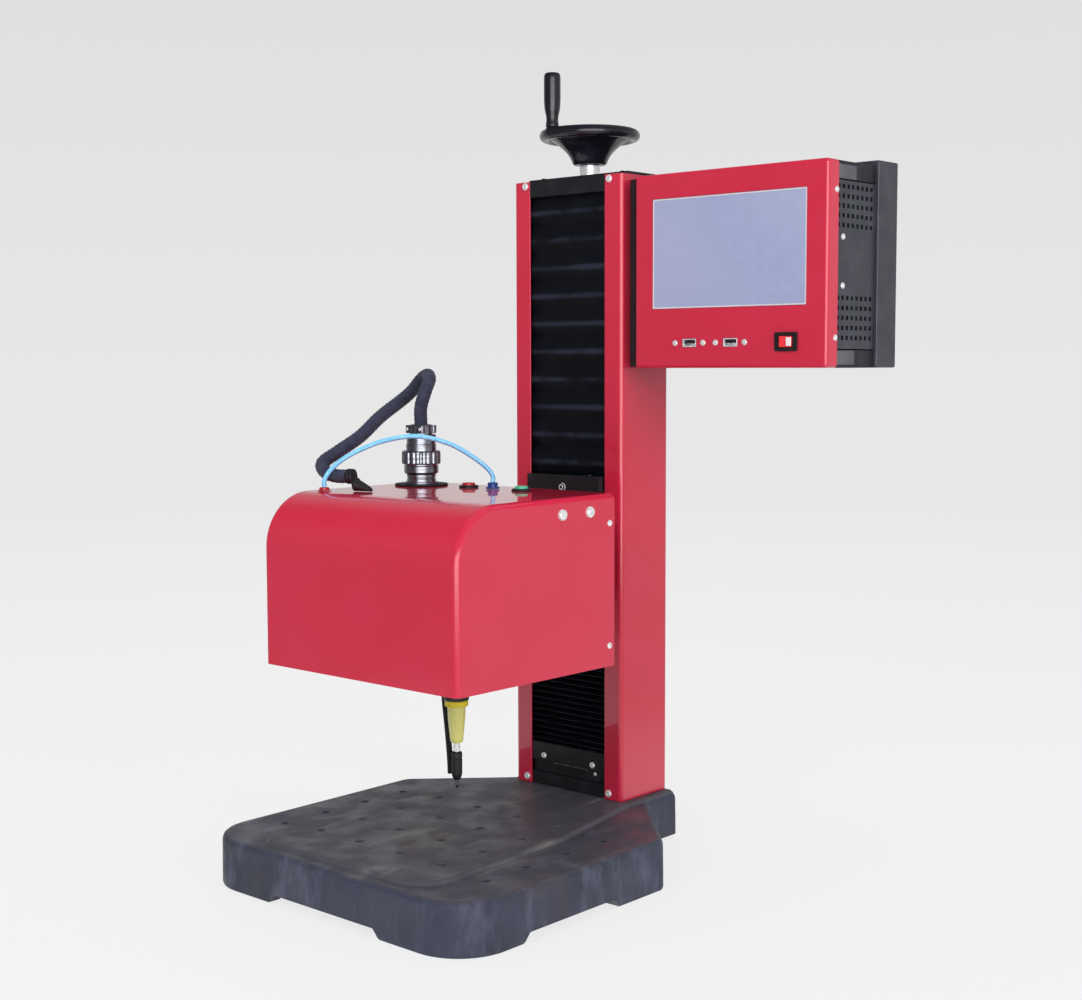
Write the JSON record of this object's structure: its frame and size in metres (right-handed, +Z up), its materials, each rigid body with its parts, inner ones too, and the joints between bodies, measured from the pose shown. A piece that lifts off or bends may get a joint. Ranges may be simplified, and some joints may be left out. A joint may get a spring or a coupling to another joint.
{
  "type": "nameplate marking machine",
  "caption": "Bench dot marking machine: a cast base with a ground table, a column with a hand-driven lift, a hooded two-axis head with a stylus, and a touch controller.",
  "frame": {"origin": "on the ground table's top face, straight under the stylus at its home place", "axes": "+X to the operator's right, +Y from the operator to the column, +Z up"},
  "size_m": [0.4241, 0.3997, 0.6871],
  "materials": {
    "iron_paint": "dark grey paint on cast iron",
    "red_paint": "gloss crimson paint on sheet steel",
    "black_coat": "black coated steel",
    "black_plastic": "matte black plastic",
    "black_gloss": "gloss black moulding",
    "pleated_cloth": "coated cloth in pleats",
    "steel": "bright steel",
    "aluminium": "machined aluminium",
    "yellow_plastic": "yellow moulding",
    "screen_glass": "screen behind a clear sheet",
    "blue_plastic": "blue tube and fitting",
    "red_plastic": "red moulding",
    "green_plastic": "green moulding",
    "circuit_board": "green board with parts",
    "rubber": "black rubber"
  },
  "bodies": {
    "frame": {"base_casting": "iron_paint", "column_cover": "red_paint", "column_channel": "black_coat", "top_cap": "black_coat", "foot_block": "black_coat", "foot_plate": "black_coat", "top_bearing": "steel", "foot_bearing": "steel", "left_guide_rail": "steel", "right_guide_rail": "steel", "upper_bellows": "pleated_cloth", "lower_bellows": "pleated_cloth", "controller_front": "red_paint", "touch_screen": "screen_glass", "usb_ports": "steel", "switch_frame": "black_plastic", "controller_chassis": "black_coat", "controller_rear": "black_coat", "control_board": "circuit_board", "controller_bracket": "black_coat"},
    "lift_screw": {"lift_screw": "steel", "handwheel": "black_gloss", "wheel_collar": "steel", "wheel_nut": "steel"},
    "grip": {"revolving_grip": "black_gloss"},
    "head": {"head_bracket": "black_coat", "lift_carriage": "black_coat", "left_rail_block": "steel", "right_rail_block": "steel", "lift_nut": "steel", "hood": "red_paint", "hood_back": "red_paint", "gantry_plate": "aluminium", "left_y_rod": "steel", "right_y_rod": "steel", "y_motor": "black_coat", "y_belt": "rubber", "connector_socket": "steel", "connector_plug": "steel", "cable_gland": "rubber", "air_port": "red_plastic", "air_fitting": "blue_plastic", "red_button_housing": "black_plastic", "green_button_housing": "black_plastic", "signal_cable": "rubber", "air_tube": "blue_plastic"},
    "y_stage": {"y_bridge": "aluminium", "front_x_rod": "steel", "rear_x_rod": "steel", "x_motor": "black_coat", "x_belt": "rubber"},
    "x_stage": {"x_carriage": "aluminium", "stylus_barrel": "yellow_plastic", "stylus_pen": "black_plastic", "return_spring": "steel", "stylus_hose": "rubber"},
    "needle": {"needle": "steel"},
    "red_button": {"red_button": "red_plastic"},
    "green_button": {"green_button": "green_plastic"},
    "power_rocker": {"power_rocker": "red_plastic"}
  },
  "joints": [
    {"name": "head_lift", "type": "slide", "parent": "frame", "child": "head", "axis": [0, 0, 1], "range_m": [-0.024, 0.19], "deforming": ["upper_bellows", "lower_bellows"]},
    {"name": "handwheel_turn", "type": "hinge", "parent": "frame", "child": "lift_screw", "pos_m": [0, 0.174, 0.5], "axis": [0, 0, 1], "range_deg": [-13700, 1800]},
    {"name": "grip_turn", "type": "hinge", "parent": "lift_screw", "child": "grip", "pos_m": [-0.01069, 0.13545, 0.5896], "axis": [0, 0, 1], "continuous": true},
    {"name": "power_switch", "type": "hinge", "parent": "frame", "child": "power_rocker", "pos_m": [0.2313, 0.1414, 0.404], "axis": [0, 0, 1], "range_deg": [-18, 0]},
    {"name": "y_travel", "type": "slide", "parent": "head", "child": "y_stage", "axis": [0, 1, 0], "range_m": [-0.058, 0.015]},
    {"name": "x_travel", "type": "slide", "parent": "y_stage", "child": "x_stage", "axis": [1, 0, 0], "range_m": [-0.05, 0.05]},
    {"name": "needle_stroke", "type": "slide", "parent": "x_stage", "child": "needle", "axis": [0, 0, 1], "range_m": [-0.005, 0], "stiffness_N_per_m": 300, "springref_m": 0.002, "deforming": ["return_spring"]},
    {"name": "red_button_press", "type": "slide", "parent": "head", "child": "red_button", "axis": [0, 0, 1], "range_m": [-0.0015, 0], "stiffness_N_per_m": 800, "springref_m": 0.001},
    {"name": "green_button_press", "type": "slide", "parent": "head", "child": "green_button", "axis": [0, 0, 1], "range_m": [-0.0015, 0], "stiffness_N_per_m": 800, "springref_m": 0.001}
  ],
  "couplings": [
    {"joint": "handwheel_turn", "follows": "head_lift", "rad_per_m": -1256.6}
  ]
}
